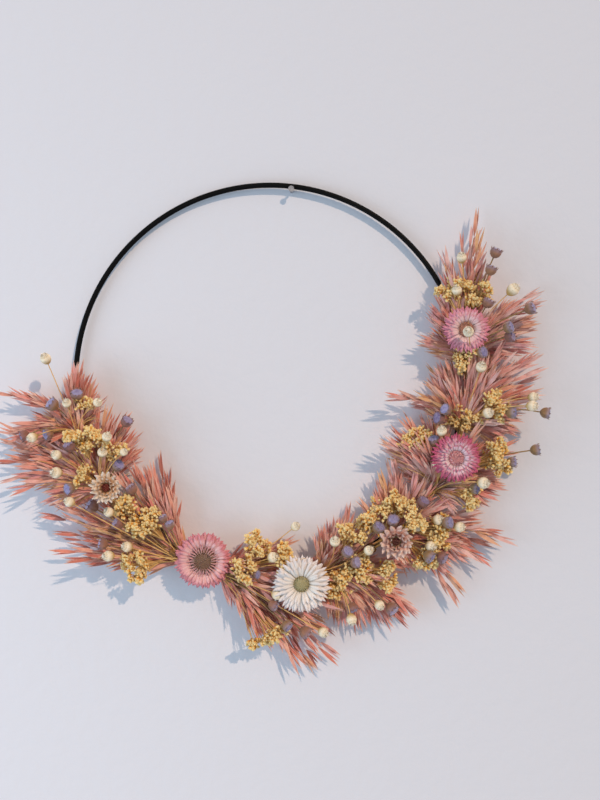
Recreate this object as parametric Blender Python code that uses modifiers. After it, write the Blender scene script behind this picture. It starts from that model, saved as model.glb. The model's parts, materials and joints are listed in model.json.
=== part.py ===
"""Dried-flower hoop wreath: a round metal hoop, nine tied bunches of dried stems laid along its left, lower
and right sides like roof tiles, and strawflowers set over the joins between them.

The wreath hangs in the XZ plane: its front faces -Y, the wall is on its +Y side and +Z is up. The origin is
the spot on the hoop's inner edge that rests on the hook. Lengths are in metres. A place on the wreath is an
angle in degrees, counted anticlockwise from +X round the hoop's centre, an offset in millimetres outwards
from the middle of the rod, and a depth, counted towards the front from the middle of the rod.
"""

import itertools
import math
import random
from collections import namedtuple

import bmesh
import bpy
import numpy as np
from mathutils import Matrix, Vector

MM = 0.001
SEED = 7
CLEARANCE = 0.0004  # between pieces that rest on each other

# Hoop
HOOP_OUTER_DIAMETER = 0.300
ROD_DIAMETER = 0.004
HANG_ANGLE = 83.7
HOOP_STEPS = 80

# Each bunch's stems are gathered in four small bundles, one behind another, and tied to the rod
BUNDLE_RADIUS = 0.0015
BUNDLE_LENGTH = 0.017
BUNDLE_SIDES = 8
TIE_WIDTH = 0.006
TIE_WALL = 0.0008
TIE_SIDES = 12
TIE_END_ROOM = 0.0006  # between the sleeve and the rod or bundle at its front and back
TIE_SIDE_ROOM = 0.0012  # between the sleeve and the rod at its sides
STEM_START = 0.006  # where stems begin to fan out, measured along the rod from the tie's middle
STEM_RADIUS = 0.0007
STEM_STRAIGHT = 0.45  # share of a stem's length over which it still follows the rod
STEM_BOW = 0.8  # how far a stem bows forwards, as a share of how far its tip was raised
RAISE, MOST_RAISES = 0.0007, 60  # a tip is raised by steps until its stem and head clear what lies behind
SWAYS = (0, 0.005, -0.005, 0.010, -0.010)  # and at each step its stem may bow sideways so far

# Oats: long stems that end in papery spikelets
SPIKELET_RADIUS = 0.0024
SPIKELET_SWELL = (0.30, 0.36, 0.60, 1.0, 0.15)  # radius along the stem, as a share of the spikelet's
OAT_DEPTHS = (-0.002, 0.004, 0.010, 0.016)
OUTER_OATS_SHORTER = 0.55  # how much less far a bunch's outermost oats reach
OAT_REACH_VARIES = 2  # degrees

# Broom: clusters of small kernels on forked twigs
KERNEL_RADIUS = 0.0019
KERNELS = 5
KERNEL_STALK = 0.6  # radius of a kernel's fork, as a share of the stem's
CLUSTER_RADIUS = 0.0085
CLUSTER_DOME = 0.5  # how far the middle kernels stand out, as a share of the cluster's radius
FORK_START, FORK_STEP = 0.6, 0.12  # where forks leave the stem, in cluster radii below its tip
BROOM_DEPTH = 0.018

# Seed pods: ribbed cups on stiff stems
POD_DIAMETER = 0.0088
POD_LENGTH = 0.0085
POD_FOOT = 0.4  # radius at the foot, as a share of the rim's
POD_SIDES = 6
POD_DEPTH = 0.021
POD_GUARD = (-0.2, 0.4, 1.05)  # what keeps a pod clear: a rod's ends, in lengths, and radius, in rim radii

# Button flowers: round heads on thin stems
BUTTON_DIAMETER = 0.0080
BUTTON_DEPTH = 0.025

# Strawflowers: open heads of stiff bracts round a disc, and half-closed buds
BRACT_NOTCH = 0.86  # radius between two bract tips, as a share of the head's radius
FLOWER_HEIGHT = 0.013
CALYX_RADIUS = 0.0045
FLOWER_STEM_RADIUS = 0.0012
LEAST_FOOT_DEPTH = 0.014  # a flower's foot stands at least so far in front of the rod
DISC_RISE = 0.0028
DISC_RECESS = 0.0022
DISC_COLLAR = 0.0001  # how much narrower the recess is at its floor
BUD_LENGTH = 0.013

Bunch = namedtuple("Bunch", "name tie flow reach inner outer oats broom pods buttons")
Flower = namedtuple("Flower", "name angle offset diameter disc bracts")
Bud = namedtuple("Bud", "name angle offset diameter")

# The bunches stand in the order in which they are tied on: from each end towards the pink strawflower, so
# that a bunch's tips cover the tie before it. A bunch is tied at an angle and its stems run from there along
# the hoop, anticlockwise for a flow of 1. Its oats reach so many degrees past the tie and fan between the
# inner and the outer offset. Its other heads are given one by one, as angle and offset.
BUNCHES = (
    Bunch("left_1", 200, -1, reach=22, inner=-30, outer=58, oats=8,
          broom=((187, -14),), pods=((185, -3), (187, 12), (193, 36), (194, 18)),
          buttons=((175, 16), (188, -22), (187, -1), (194, 28))),
    Bunch("left_2", 219, -1, reach=21, inner=-38, outer=60, oats=8,
          broom=((195, -6), (203, -26), (207, 8)), pods=((197, -38), (199, 5), (209, 17), (210, -19)),
          buttons=((200, 14), (200, -24), (204, 20), (207, -30))),
    Bunch("left_3", 241, -1, reach=22, inner=-38, outer=48, oats=8,
          broom=((226, -9), (233, 26)), pods=((216, -4), (219, -18), (224, 6), (225, 24)),
          buttons=((212, 20), (228, 26), (230, 13))),
    Bunch("right_6", 1, 1, reach=32, inner=-26, outer=62, oats=10,
          broom=((24, 18),), pods=((10, 31), (15, 50), (19, 22), (29, 42)),
          buttons=((20, 42), (25, 4), (32, 18))),
    Bunch("right_5", 341, 1, reach=21, inner=-34, outer=58, oats=8,
          broom=((350, 0), (354, 26)), pods=((350, -16), (352, 30), (353, 56)),
          buttons=((351, 14), (354, 42), (0, 8))),
    Bunch("right_4", 321, 1, reach=20, inner=-48, outer=56, oats=8,
          broom=((330, 28), (337, -34), (342, 36)), pods=((332, 22), (339, -18), (341, 40), (345, 54)),
          buttons=((334, 24), (333, -10), (343, -16))),
    Bunch("right_3", 301, 1, reach=21, inner=-36, outer=62, oats=8,
          broom=((308, -26), (311, 34), (317, -19), (319, 26)), pods=((311, -9), (314, 34), (321, -3)),
          buttons=((314, 22), (315, 4), (320, 13), (322, 28))),
    Bunch("right_2", 281, 1, reach=20, inner=-30, outer=60, oats=8,
          broom=((292, 19),), pods=((290, 30), (294, -8), (295, 1), (298, 42)),
          buttons=((292, -19), (289, 36), (296, 35))),
    Bunch("right_1", 259, 1, reach=21, inner=-26, outer=68, oats=8,
          broom=((269, -28), (272, 43), (278, -15)), pods=((271, 18), (274, 33), (278, 40)),
          buttons=((271, -17), (272, 10), (280, -38))),
)
FLOWERS = (
    Flower("pink", 250, -5, 0.041, 0.017, 20),
    Flower("white", 279, 4, 0.042, 0.013, 18),
    Flower("magenta", 337, 0, 0.036, 0.014, 18),
    Flower("lilac", 14, 1, 0.034, 0.013, 16),
)
BUDS = (Bud("cream", 214, -8, 0.019), Bud("beige", 308, 2, 0.021))

# Worked out from the sizes above
FRONT = Vector((0, -1, 0))
ROD_RADIUS = ROD_DIAMETER / 2
HOOP_RADIUS = HOOP_OUTER_DIAMETER / 2 - ROD_RADIUS
HANG_RADIUS = HOOP_RADIUS - ROD_RADIUS
HOOP_CENTRE = Vector((-HANG_RADIUS * math.cos(math.radians(HANG_ANGLE)), 0,
                      -HANG_RADIUS * math.sin(math.radians(HANG_ANGLE))))
BUNDLE_PITCH = 2 * BUNDLE_RADIUS + CLEARANCE
FIRST_BUNDLE = ROD_RADIUS + CLEARANCE + BUNDLE_RADIUS
OATS_LANE, BROOM_LANE, PODS_LANE, BUTTONS_LANE = (FIRST_BUNDLE + lane * BUNDLE_PITCH for lane in range(4))

# Colour, roughness and metallic value
FINISHES = {
    "black_metal": ((0.012, 0.012, 0.014), 0.55, 0.6),
    "binding_wire": ((0.20, 0.12, 0.07), 0.50, 0.8),
    "pink_oats": ((0.56, 0.23, 0.20), 0.75, 0.0),
    "golden_broom": ((0.72, 0.46, 0.14), 0.85, 0.0),
    "lilac_pods": ((0.34, 0.26, 0.36), 0.80, 0.0),
    "cream_buttons": ((0.80, 0.70, 0.52), 0.85, 0.0),
    "pink_bracts": ((0.78, 0.30, 0.33), 0.60, 0.0),
    "white_bracts": ((0.86, 0.80, 0.76), 0.60, 0.0),
    "magenta_bracts": ((0.55, 0.07, 0.25), 0.60, 0.0),
    "lilac_bracts": ((0.66, 0.44, 0.58), 0.60, 0.0),
    "cream_bracts": ((0.82, 0.68, 0.52), 0.60, 0.0),
    "beige_bracts": ((0.66, 0.46, 0.44), 0.60, 0.0),
    "flower_disc": ((0.30, 0.22, 0.08), 0.90, 0.0),
}


def clear_scene():
    for obj in list(bpy.data.objects):
        bpy.data.objects.remove(obj, do_unlink=True)


def collection(name):
    made = bpy.data.collections.new(name)
    bpy.context.scene.collection.children.link(made)
    return made


def finish(slot):
    """The material of this slot, made the first time that it is asked for."""
    if slot in bpy.data.materials:
        return bpy.data.materials[slot]
    color, roughness, metallic = FINISHES[slot]
    material = bpy.data.materials.new(slot)
    material.use_nodes = True
    shader = material.node_tree.nodes["Principled BSDF"]
    shader.inputs["Base Color"].default_value = (*color, 1)
    shader.inputs["Roughness"].default_value = roughness
    shader.inputs["Metallic"].default_value = metallic
    material.diffuse_color = (*color, 1)
    return material


def add_object(name, mesh, slot, into):
    obj = bpy.data.objects.new(name, mesh)
    if slot:
        mesh.materials.clear()
        mesh.materials.append(finish(slot))
        mesh.shade_smooth()
        mesh.set_sharp_from_angle(angle=math.radians(35))
    into.objects.link(obj)
    return obj


def place(angle, offset, depth):
    """The point at an angle round the hoop, an offset out from the rod's middle and a depth in front of it."""
    turn = math.radians(angle)
    radius = HOOP_RADIUS + offset
    return HOOP_CENTRE + Vector((radius * math.cos(turn), -depth, radius * math.sin(turn)))


def along(angle, flow):
    """The direction of the rod at an angle, the way that a bunch's stems run."""
    turn = math.radians(angle)
    return Vector((-math.sin(turn), 0, math.cos(turn))) * flow


def tangent_frame(angle, flow, point):
    """A matrix whose Z runs along the rod and whose Y faces the wall."""
    axis = along(angle, flow)
    wall = Vector((0, 1, 0))
    return Matrix.Translation(point) @ Matrix((wall.cross(axis), wall, axis)).transposed().to_4x4()


class Room:
    """The space that is taken: straight rods with round ends, each with its node's name."""

    def __init__(self):
        self.owners, self.starts, self.ends, self.radii = [], [], [], []

    def add(self, owner, rods):
        for start, end, radius in rods:
            self.owners.append(owner)
            self.starts.append(start)
            self.ends.append(end)
            self.radii.append(radius)

    def is_clear(self, owner, rods):
        others = np.array([name != owner for name in self.owners], bool)
        if not others.any():
            return True
        starts, ends = np.array(self.starts)[others], np.array(self.ends)[others]
        radii = np.array(self.radii)[others]
        return all((gaps(start, end, starts, ends) - radii - radius).min() > CLEARANCE
                   for start, end, radius in rods)


def gaps(start, end, starts, ends):
    """The distance from one straight segment to each of many others."""
    start, run = np.array(start), np.array(end) - np.array(start)
    runs, between = ends - starts, start - starts
    own, theirs = max(run @ run, 1e-12), np.maximum((runs * runs).sum(1), 1e-12)
    mixed, lead, lag = runs @ run, between @ run, (runs * between).sum(1)
    spread = own * theirs - mixed * mixed
    here = np.clip((mixed * lag - lead * theirs) / np.maximum(spread, 1e-15), 0, 1)
    there = np.clip((mixed * here + lag) / theirs, 0, 1)
    here = np.clip((mixed * there - lead) / own, 0, 1)
    nearest = between + here[:, None] * run - there[:, None] * runs
    return np.linalg.norm(nearest, axis=1)


def bend(start, control, end, steps):
    """Points of a curve that leaves start towards control and arrives at end."""
    shares = [step / steps for step in range(steps + 1)]
    return [start * (1 - t) ** 2 + control * 2 * t * (1 - t) + end * t * t for t in shares]


def rods_of(points, radii):
    return [(points[i], points[i + 1], max(radii[i], radii[i + 1])) for i in range(len(points) - 1)]


def tubes(name, stems, into):
    """A mesh of square tubes, one along each (points, radii) of stems, with closed ends."""
    curve = bpy.data.curves.new(name, "CURVE")
    curve.dimensions, curve.use_fill_caps = "3D", True
    curve.bevel_depth, curve.bevel_resolution = MM, 0
    for points, radii in stems:
        spline = curve.splines.new("POLY")
        spline.points.add(len(points) - 1)
        for target, point, radius in zip(spline.points, points, radii):
            target.co, target.radius = (*point, 1), radius / MM
    guide = bpy.data.objects.new(name, curve)
    into.objects.link(guide)
    graph = bpy.context.evaluated_depsgraph_get()
    mesh = bpy.data.meshes.new_from_object(guide.evaluated_get(graph))
    bpy.data.objects.remove(guide)
    bpy.data.curves.remove(curve)
    return mesh


def bundle(points_at, angle, flow):
    """A short rod of gathered stems: the mesh that a spray's stems grow out of."""
    work = bmesh.new()
    bmesh.ops.create_cone(work, cap_ends=True, segments=BUNDLE_SIDES, radius1=BUNDLE_RADIUS,
                          radius2=BUNDLE_RADIUS, depth=BUNDLE_LENGTH,
                          matrix=tangent_frame(angle, flow, points_at))
    return work


def mesh_from(work, name):
    mesh = bpy.data.meshes.new(name)
    work.to_mesh(mesh)
    work.free()
    return mesh


class Spray:
    """One kind of plant in one bunch: its stems and heads, joined in the bundle that the tie holds."""

    def __init__(self, kind, bunch, lane, slot, room):
        self.name = f"{kind}_{bunch.name}"
        self.bunch, self.lane, self.slot, self.room = bunch, lane, slot, room
        self.run = along(bunch.tie, bunch.flow)
        self.outwards = (place(bunch.tie, 0, 0) - HOOP_CENTRE).normalized()
        self.middle = place(bunch.tie, 0, lane)
        self.start = self.middle + self.run * STEM_START
        self.stems, self.heads = [], bmesh.new()
        half = self.run * (BUNDLE_LENGTH / 2)
        room.add(self.name, [(self.middle - half, self.middle + half, BUNDLE_RADIUS)])

    def path(self, tip, steps=3):
        """A stem from the bundle to its tip, bowed forwards and sideways as far as it has to be."""
        control = self.start + self.run * (tip - self.start).length * STEM_STRAIGHT
        control += self.outwards * self.sway
        control.y -= self.raised * STEM_BOW
        return bend(self.start, control, tip, steps)

    def settle(self, shape, angle, offset, depth):
        """Adds shape(tip)'s stems and heads at the first depth where they clear the other nodes."""
        for step, sway in itertools.product(range(MOST_RAISES), SWAYS):
            self.raised, self.sway = step * RAISE, sway
            tip = place(angle, offset, depth + self.raised)
            stems, add_head, rods = shape(tip)
            if self.room.is_clear(self.name, rods):
                self.stems += stems
                add_head()
                self.room.add(self.name, rods)
                return
        raise ValueError(f"{self.name} has no room at {angle}, {offset}")

    def build(self, into, helpers):
        grown = bmesh.new()
        grown.from_mesh(tubes(self.name, self.stems, helpers))
        grown.from_mesh(mesh_from(self.heads, self.name + "_heads"))
        bmesh.ops.remove_doubles(grown, verts=grown.verts, dist=1e-6)
        bmesh.ops.recalc_face_normals(grown, faces=grown.faces)
        helper = add_object(self.name + "_growth", mesh_from(grown, self.name + "_growth"), None, helpers)
        helper.hide_render, helper.display_type = True, "WIRE"
        core = mesh_from(bundle(self.middle, self.bunch.tie, self.bunch.flow), self.name)
        spray = add_object(self.name, core, self.slot, into)
        union = spray.modifiers.new("growth", "BOOLEAN")
        union.operation, union.object, union.use_self = "UNION", helper, True
        return spray


def facing(direction, point):
    """A matrix at point whose Z runs along direction."""
    return Matrix.Translation(point) @ direction.to_track_quat("Z", "Y").to_matrix().to_4x4()


def oat_spray(bunch, room):
    """Long stems fanned evenly between the bunch's two edges, the middle ones reaching furthest."""
    spray = Spray("oats", bunch, OATS_LANE, "pink_oats", room)
    chance = random.Random(f"{SEED} {bunch.name}")

    def oat(tip):
        points = spray.path(tip, len(SPIKELET_SWELL) - 1)
        radii = [SPIKELET_RADIUS * share for share in SPIKELET_SWELL]
        return [(points, radii)], lambda: None, rods_of(points, radii)

    for index in range(bunch.oats):
        across = index / (bunch.oats - 1)
        offset = bunch.inner + (bunch.outer - bunch.inner) * across
        reach = bunch.reach * (1 - OUTER_OATS_SHORTER * (2 * across - 1) ** 2)
        reach += chance.uniform(-OAT_REACH_VARIES, OAT_REACH_VARIES)
        spray.settle(oat, bunch.tie + bunch.flow * reach, offset * MM, OAT_DEPTHS[index % len(OAT_DEPTHS)])
    return spray


def broom_spray(bunch, room):
    """Forked twigs that end in a rounded cluster of kernels at each of the bunch's broom places."""
    spray = Spray("broom", bunch, BROOM_LANE, "golden_broom", room)
    golden = math.pi * (3 - math.sqrt(5))

    def cluster(tip):
        points = spray.path(tip)
        toward = (points[-1] - points[-2]).normalized()
        turn = facing(toward, tip)
        stems = [(points, [STEM_RADIUS] * len(points))]
        for index in range(KERNELS):
            reach = CLUSTER_RADIUS * math.sqrt((index + 0.5) / KERNELS)
            kernel = turn @ Vector((reach * math.cos(index * golden), reach * math.sin(index * golden),
                                    CLUSTER_DOME * (CLUSTER_RADIUS - reach)))
            fork = tip - toward * CLUSTER_RADIUS * (FORK_START + FORK_STEP * index)
            end = kernel + (kernel - fork).normalized() * KERNEL_RADIUS
            stalk = STEM_RADIUS * KERNEL_STALK
            stems.append(([fork, kernel, end], [stalk, KERNEL_RADIUS, stalk]))
        rods = [rod for points, radii in stems for rod in rods_of(points, radii)]
        return stems, lambda: None, rods

    for angle, offset in bunch.broom:
        spray.settle(cluster, angle, offset * MM, BROOM_DEPTH)
    return spray


def pod_spray(bunch, room):
    """Stiff stems that each end in a cup, wider at its open rim than at its foot."""
    spray = Spray("pods", bunch, PODS_LANE, "lilac_pods", room)
    radius = POD_DIAMETER / 2
    low, high, wide = POD_GUARD

    def pod(tip):
        points = spray.path(tip)
        toward = (points[-1] - points[-2]).normalized()
        stem = (points, [STEM_RADIUS] * len(points))

        def add_head():
            bmesh.ops.create_cone(spray.heads, cap_ends=True, segments=POD_SIDES, depth=POD_LENGTH,
                                  radius1=radius * POD_FOOT, radius2=radius, matrix=facing(toward, tip))

        guard = (tip + toward * POD_LENGTH * low, tip + toward * POD_LENGTH * high, radius * wide)
        return [stem], add_head, rods_of(*stem) + [guard]

    for angle, offset in bunch.pods:
        spray.settle(pod, angle, offset * MM, POD_DEPTH)
    return spray


def button_spray(bunch, room):
    """Thin stems that each end in a round head."""
    spray = Spray("buttons", bunch, BUTTONS_LANE, "cream_buttons", room)
    radius = BUTTON_DIAMETER / 2

    def button(tip):
        points = spray.path(tip)
        toward = (points[-1] - points[-2]).normalized()
        stem = (points, [STEM_RADIUS] * len(points))

        def add_head():
            bmesh.ops.create_uvsphere(spray.heads, u_segments=6, v_segments=4, radius=radius,
                                      matrix=facing(toward, tip))

        return [stem], add_head, rods_of(*stem) + [(tip, tip, radius)]

    for angle, offset in bunch.buttons:
        spray.settle(button, angle, offset * MM, BUTTON_DEPTH)
    return spray


def hoop(room, into):
    """The round rod, bent into a ring."""
    rod = bpy.data.curves.new("hoop", "CURVE")
    rod.dimensions, rod.bevel_depth, rod.bevel_resolution = "3D", ROD_RADIUS, 2
    spline = rod.splines.new("POLY")
    spline.points.add(HOOP_STEPS - 1)
    spline.use_cyclic_u = True
    places = [place(360 * step / HOOP_STEPS, 0, 0) for step in range(HOOP_STEPS)]
    for target, point in zip(spline.points, places):
        target.co = (*point, 1)
    ring = bpy.data.objects.new("hoop", rod)
    rod.materials.append(finish("black_metal"))
    into.objects.link(ring)
    room.add("hoop", rods_of(places + places[:1], [ROD_RADIUS] * (HOOP_STEPS + 1)))
    return ring


def tie(bunch, room, into):
    """A sleeve of binding wire wound round the rod and the bunch's four bundles."""
    front = BUTTONS_LANE + BUNDLE_RADIUS + CLEARANCE
    back = -ROD_RADIUS - CLEARANCE
    half_depth = (front - back) / 2 + TIE_END_ROOM
    half_width = max(ROD_RADIUS, BUNDLE_RADIUS) + CLEARANCE + TIE_SIDE_ROOM
    point = place(bunch.tie, 0, (front + back) / 2)
    work = bmesh.new()
    turn = tangent_frame(bunch.tie, bunch.flow, point)
    bmesh.ops.create_cone(work, cap_ends=False, segments=TIE_SIDES, radius1=1, radius2=1, depth=TIE_WIDTH,
                          matrix=turn @ Matrix.Diagonal((half_width, half_depth, 1, 1)))
    sleeve = add_object(f"tie_{bunch.name}", mesh_from(work, "tie"), "binding_wire", into)
    wall = sleeve.modifiers.new("wall", "SOLIDIFY")
    wall.thickness, wall.offset = TIE_WALL, 1
    across, deep = half_width + TIE_WALL / 2, half_depth + TIE_WALL / 2
    turns = [math.tau * step / TIE_SIDES for step in range(TIE_SIDES + 1)]
    ring = [turn @ Vector((across * math.cos(around), deep * math.sin(around), 0)) for around in turns]
    sides = [shift * along(bunch.tie, 1) * (TIE_WIDTH / 2 - TIE_WALL / 2) for shift in (-1, 0, 1)]
    for side in sides:
        room.add(sleeve.name, rods_of([spot + side for spot in ring], [TIE_WALL] * len(ring)))
    return sleeve


def resting_depth(room, angle, offset, underside, reach):
    """The least depth at which a head clears everything behind it. underside(distance from the head's axis)
    is how far its underside stands in front of its foot."""
    axis = place(angle, offset, 0)
    depth = 0.0
    for start, end, radius in zip(room.starts, room.ends, room.radii):
        for share in (0, 0.2, 0.4, 0.6, 0.8, 1):
            point = start * (1 - share) + end * share
            distance = math.hypot(point.x - axis.x, point.z - axis.z)
            if distance < reach + radius + CLEARANCE:
                near = max(distance - radius - CLEARANCE, 0)
                depth = max(depth, -point.y + radius + CLEARANCE - underside(near))
    return depth


def strawflower(flower, room, into):
    """A bowl of notched bracts on a cut stem, with a recess in its middle, and the disc in the recess."""
    radius, offset = flower.diameter / 2, flower.offset * MM

    def underside(distance):
        return FLOWER_HEIGHT * max(distance - CALYX_RADIUS, 0) / (radius - CALYX_RADIUS)

    depth = max(resting_depth(room, flower.angle, offset, underside, radius), LEAST_FOOT_DEPTH)
    stem_end = resting_depth(room, flower.angle, offset, lambda distance: 0, FLOWER_STEM_RADIUS)
    turn = facing(FRONT, place(flower.angle, offset, depth + FLOWER_HEIGHT / 2))
    work = bmesh.new()
    bowl = bmesh.ops.create_cone(work, cap_ends=True, segments=2 * flower.bracts, radius1=CALYX_RADIUS,
                                 radius2=radius, depth=FLOWER_HEIGHT)
    rim = sorted((v for v in bowl["verts"] if v.co.z > 0), key=lambda v: math.atan2(v.co.y, v.co.x))
    for notch in rim[::2]:
        notch.co.xy *= BRACT_NOTCH
    foot = min(work.faces, key=lambda face: face.calc_center_median().z)
    bmesh.ops.inset_region(work, faces=[foot], thickness=CALYX_RADIUS - FLOWER_STEM_RADIUS)
    stem = bmesh.ops.extrude_discrete_faces(work, faces=[foot])["faces"][0]
    bmesh.ops.translate(work, verts=stem.verts, vec=(0, 0, stem_end - depth))
    top = max(work.faces, key=lambda face: face.calc_center_median().z)
    recess_radius = flower.disc / 2 + CLEARANCE
    bmesh.ops.inset_region(work, faces=[top], thickness=MM)
    for corner in top.verts:
        corner.co.xy = corner.co.xy.normalized() * recess_radius
        corner.co.z -= DISC_RECESS / 2
    bmesh.ops.inset_region(work, faces=[top], thickness=DISC_COLLAR)
    for corner in top.verts:
        corner.co.xy = corner.co.xy.normalized() * (recess_radius - DISC_COLLAR)
        corner.co.z -= DISC_RECESS
    work.transform(turn)
    head = add_object(f"strawflower_{flower.name}", mesh_from(work, "bracts"), f"{flower.name}_bracts", into)

    floor = depth + FLOWER_HEIGHT - 1.5 * DISC_RECESS + CLEARANCE
    disc_turn = facing(FRONT, place(flower.angle, offset, floor))
    work = bmesh.new()
    bmesh.ops.create_uvsphere(work, u_segments=12, v_segments=6, radius=1,
                              matrix=Matrix.Diagonal((flower.disc / 2 - CLEARANCE, flower.disc / 2 - CLEARANCE,
                                                      DISC_RISE, 1)))
    everything = work.verts[:] + work.edges[:] + work.faces[:]
    cut = bmesh.ops.bisect_plane(work, geom=everything, plane_co=(0, 0, 0), plane_no=(0, 0, -1),
                                 clear_outer=True)
    bmesh.ops.edgeloop_fill(work, edges=[e for e in cut["geom_cut"] if isinstance(e, bmesh.types.BMEdge)])
    bmesh.ops.recalc_face_normals(work, faces=work.faces)
    work.transform(disc_turn)
    disc = add_object(f"disc_{flower.name}", mesh_from(work, "disc"), "flower_disc", into)
    return head, disc


def bud(flower, room, into):
    """A half-closed strawflower: an egg with the blunt end forward."""
    radius = flower.diameter / 2

    def underside(distance):
        return BUD_LENGTH / 2 * (1 - math.sqrt(max(0, 1 - (distance / radius) ** 2)))

    depth = resting_depth(room, flower.angle, flower.offset * MM, underside, radius)
    work = bmesh.new()
    bmesh.ops.create_uvsphere(work, u_segments=10, v_segments=6, radius=1,
                              matrix=Matrix.Diagonal((radius, radius, BUD_LENGTH / 2, 1)))
    work.transform(facing(FRONT, place(flower.angle, flower.offset * MM, depth + BUD_LENGTH / 2)))
    return add_object(f"bud_{flower.name}", mesh_from(work, "bud"), f"{flower.name}_bracts", into)


def main():
    clear_scene()
    wreath, helpers = collection("hoop_wreath"), collection("helpers")
    room = Room()
    hoop(room, wreath)
    for bunch in BUNCHES:
        tie(bunch, room, wreath)
    makers = (oat_spray, broom_spray, pod_spray, button_spray)
    for bunch in BUNCHES:
        for make in makers:
            make(bunch, room).build(wreath, helpers)
    for flower in FLOWERS:
        strawflower(flower, room, wreath)
    for flower in BUDS:
        bud(flower, room, wreath)


main()
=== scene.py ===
"""The looks of the dried-flower hoop wreath: a black rod, wire ties, and nine bunches of dyed oats, golden
broom, lilac seed pods and cream button flowers, with strawflowers set over the joins between them.

A place on the wreath is an angle in degrees, anticlockwise from +X round the hoop's centre, an offset
outwards from the middle of the rod, and a depth towards the front. The tables give offsets in millimetres.
Every small shape carries an attribute, grain: how far across it a spot is, from -1 to 1, how far along it
from foot to tip, from 0 to 1, and a tint from 0 to 1 that is the copy's own.
"""

import json
import math
import random
from collections import namedtuple

import bmesh
import bpy
import numpy as np
from mathutils import Matrix, Vector

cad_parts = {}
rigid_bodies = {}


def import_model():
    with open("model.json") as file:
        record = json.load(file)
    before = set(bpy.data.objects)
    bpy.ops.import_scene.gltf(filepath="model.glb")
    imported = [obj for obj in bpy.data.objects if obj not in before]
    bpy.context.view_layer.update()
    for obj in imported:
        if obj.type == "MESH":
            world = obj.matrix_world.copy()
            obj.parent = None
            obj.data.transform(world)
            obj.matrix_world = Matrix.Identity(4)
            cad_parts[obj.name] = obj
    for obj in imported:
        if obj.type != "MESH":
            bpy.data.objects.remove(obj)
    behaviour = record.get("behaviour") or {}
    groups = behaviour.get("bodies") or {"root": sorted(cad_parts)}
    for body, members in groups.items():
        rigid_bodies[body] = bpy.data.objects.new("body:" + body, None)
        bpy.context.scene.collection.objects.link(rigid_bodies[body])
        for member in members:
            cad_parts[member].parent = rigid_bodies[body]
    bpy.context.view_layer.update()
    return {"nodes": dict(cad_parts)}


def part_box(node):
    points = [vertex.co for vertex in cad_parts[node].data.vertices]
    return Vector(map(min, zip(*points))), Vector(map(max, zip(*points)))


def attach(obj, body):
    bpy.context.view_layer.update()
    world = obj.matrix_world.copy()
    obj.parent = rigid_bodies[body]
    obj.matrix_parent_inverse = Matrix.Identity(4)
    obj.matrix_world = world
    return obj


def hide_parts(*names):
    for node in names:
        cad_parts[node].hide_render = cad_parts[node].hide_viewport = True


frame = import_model()

MM = 0.001
SEED = 11
FRONT = Vector((0, -1, 0))
GOLDEN_ANGLE = math.pi * (3 - math.sqrt(5))
# The oats' painted shade: over these depths their colour is darkened towards the wall, where shade falls
PAINTED_SHADE_DEPTHS = (-0.011, 0.001)  # the depths, in Y, over which the oats grow darker towards the wall

# The rod, measured on the frame
HOOP_LOW, HOOP_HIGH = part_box("hoop")
ROD_RADIUS = (HOOP_HIGH.y - HOOP_LOW.y) / 2
HOOP_RADIUS = (HOOP_HIGH.x - HOOP_LOW.x) / 2 - ROD_RADIUS
HOOP_CENTRE = (HOOP_LOW + HOOP_HIGH) / 2

# How far in front of the rod's middle each kind of stem passes through a tie
OATS_LANE, BROOM_LANE, PODS_LANE, BUTTONS_LANE = 0.0039, 0.0073, 0.0107, 0.0141

# The two kinds of head on a stem: its lane, its diameter and how that varies, its usual depth, how far it
# tips to the front, how far below its middle it meets the stem, as a share of its radius, and the stem's
# radius at the foot and at the head
Stalked = namedtuple("Stalked", "name lane diameter spread depth tilt foot stem")
POD = Stalked("pods", PODS_LANE, 0.0090, (0.92, 1.05), 0.023, (-0.1, 0.3), 0.8, (0.0006, 0.0005))
BUTTON = Stalked("buttons", BUTTONS_LANE, 0.0080, (0.94, 1.06), 0.027, (0.15, 0.6), 1, (0.00045, 0.00035))

BUNDLE_RADIUS = 0.0013
CUT_END = 0.0105  # how far stems reach back past the middle of their tie
STEM_START = 0.006  # how far past the tie a stem begins to bend
STEM_STRAIGHT = 0.45  # the share of its reach that a stem runs on along the rod
STEM_BOW = 0.8  # how far it bows out, against how far forward its tip lies

OAT_STEMS = 66
OAT_DEPTH = (-0.001, 0.013)
STRAY_DEPTH = (0.006, 0.016)
NEAR_TIE_LIFT = 0.005  # how much further forward oats sit near the tie
OVER_NEXT_LIFT = 0.010  # and where they cover the next bunch's tie
FRONT_OATS, FRONT_LIFT = 5, 0.010  # every fifth oat stem lies this much in front of the rest
AT_THE_EDGE = 0.36  # the share of the oats that reach all the way out
SPIKELETS = 7
# How far a spikelet's husks open, how much they curl and how far they fold round each other
SPIKELET_KINDS = ((3, 0.03, 35), (5, -0.04, 40), (8, 0.05, 30), (4, 0.10, 45), (6, -0.08, 25),
                  (11, 0.02, 35))
SPIKELET_LENGTH = (0.016, 0.024)
OAT_TIP = 0.017  # how far the last spikelet reaches past the stem
OAT_STEM_RADIUS = 0.0004
TAN_OATS = 0.12  # the share of oat stems that are tan

STRAWS = 36
FRONT_STRAWS = 4  # every fourth loose straw lies in front of the broom and reaches further
STRAW_DEPTH, STRAW_REACH = (0.006, 0.017), 0.7
FRONT_STRAW_DEPTH, FRONT_STRAW_REACH = (0.022, 0.029), 0.85
UMBELS = 13  # in a cluster of 10 mm radius
UMBEL_RADIUS = 0.0036
KERNELS = 17
KERNEL_LENGTH = 0.0030
BROOM_DEPTH = 0.020
TWIG_RADIUS = 0.00018
POD_TEETH, POD_THREADS = 9, 30
BUTTON_FIBRES = 34
BRACT_WIDTH = 0.2

Bunch = namedtuple("Bunch", "name tie flow gather mauve edge strays broom pods buttons")

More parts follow.
